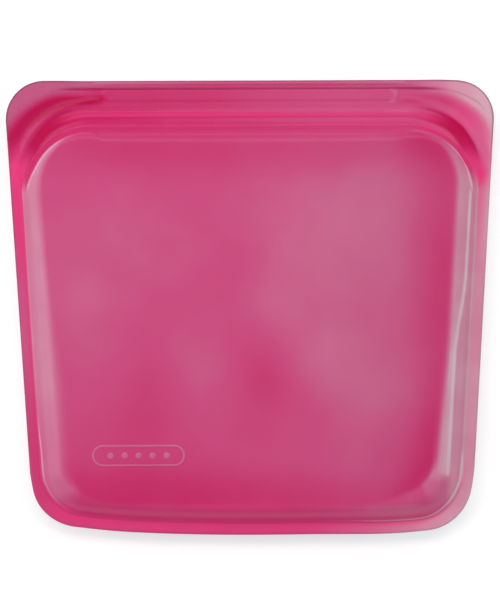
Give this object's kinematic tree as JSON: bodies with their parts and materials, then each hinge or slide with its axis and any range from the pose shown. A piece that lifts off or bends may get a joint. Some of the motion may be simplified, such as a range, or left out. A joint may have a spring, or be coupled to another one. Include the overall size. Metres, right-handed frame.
{
  "type": "reusable silicone food storage bag",
  "caption": "Flat rectangular silicone food bag with rounded corners, a raised pouch, a bonded edge and a pinch seal across the mouth.",
  "frame": {"origin": "centre of the bag's outline in plan, on the flat back face that it rests on", "axes": "+X to the right across the bag, +Y towards the mouth, +Z out through the front face"},
  "size_m": [0.1906, 0.1764, 0.0193],
  "materials": {
    "silicone": "satin"
  },
  "bodies": {
    "back_half": {"back_panel": "silicone", "back_shoulder": "silicone", "back_neck": "silicone", "seal_channel": "silicone", "edge_seam": "silicone", "left_mouth_corner": "silicone", "right_mouth_corner": "silicone"},
    "front_half": {"front_panel": "silicone", "front_shoulder": "silicone", "front_neck": "silicone", "seal_rib": "silicone", "front_emblem": "silicone"},
    "front_lip_flap": {"front_lip": "silicone", "front_grip_bar": "silicone"},
    "back_lip_flap": {"back_lip": "silicone", "back_grip_bar": "silicone"}
  },
  "joints": [
    {"name": "front_wall_lift", "type": "hinge", "parent": "back_half", "child": "front_half", "pos_m": [0, -0.0841, 0.01075], "axis": [1, 0, 0], "range_deg": [0, 12], "stiffness_Nm_per_rad": 0.02},
    {"name": "front_lip_peel", "type": "hinge", "parent": "front_half", "child": "front_lip_flap", "pos_m": [0, 0.077, 0.01095], "axis": [1, 0, 0], "range_deg": [0, 70], "stiffness_Nm_per_rad": 0.002},
    {"name": "back_lip_peel", "type": "hinge", "parent": "back_half", "child": "back_lip_flap", "pos_m": [0, 0.077, 0.00805], "axis": [-1, 0, 0], "range_deg": [0, 40], "stiffness_Nm_per_rad": 0.002}
  ]
}
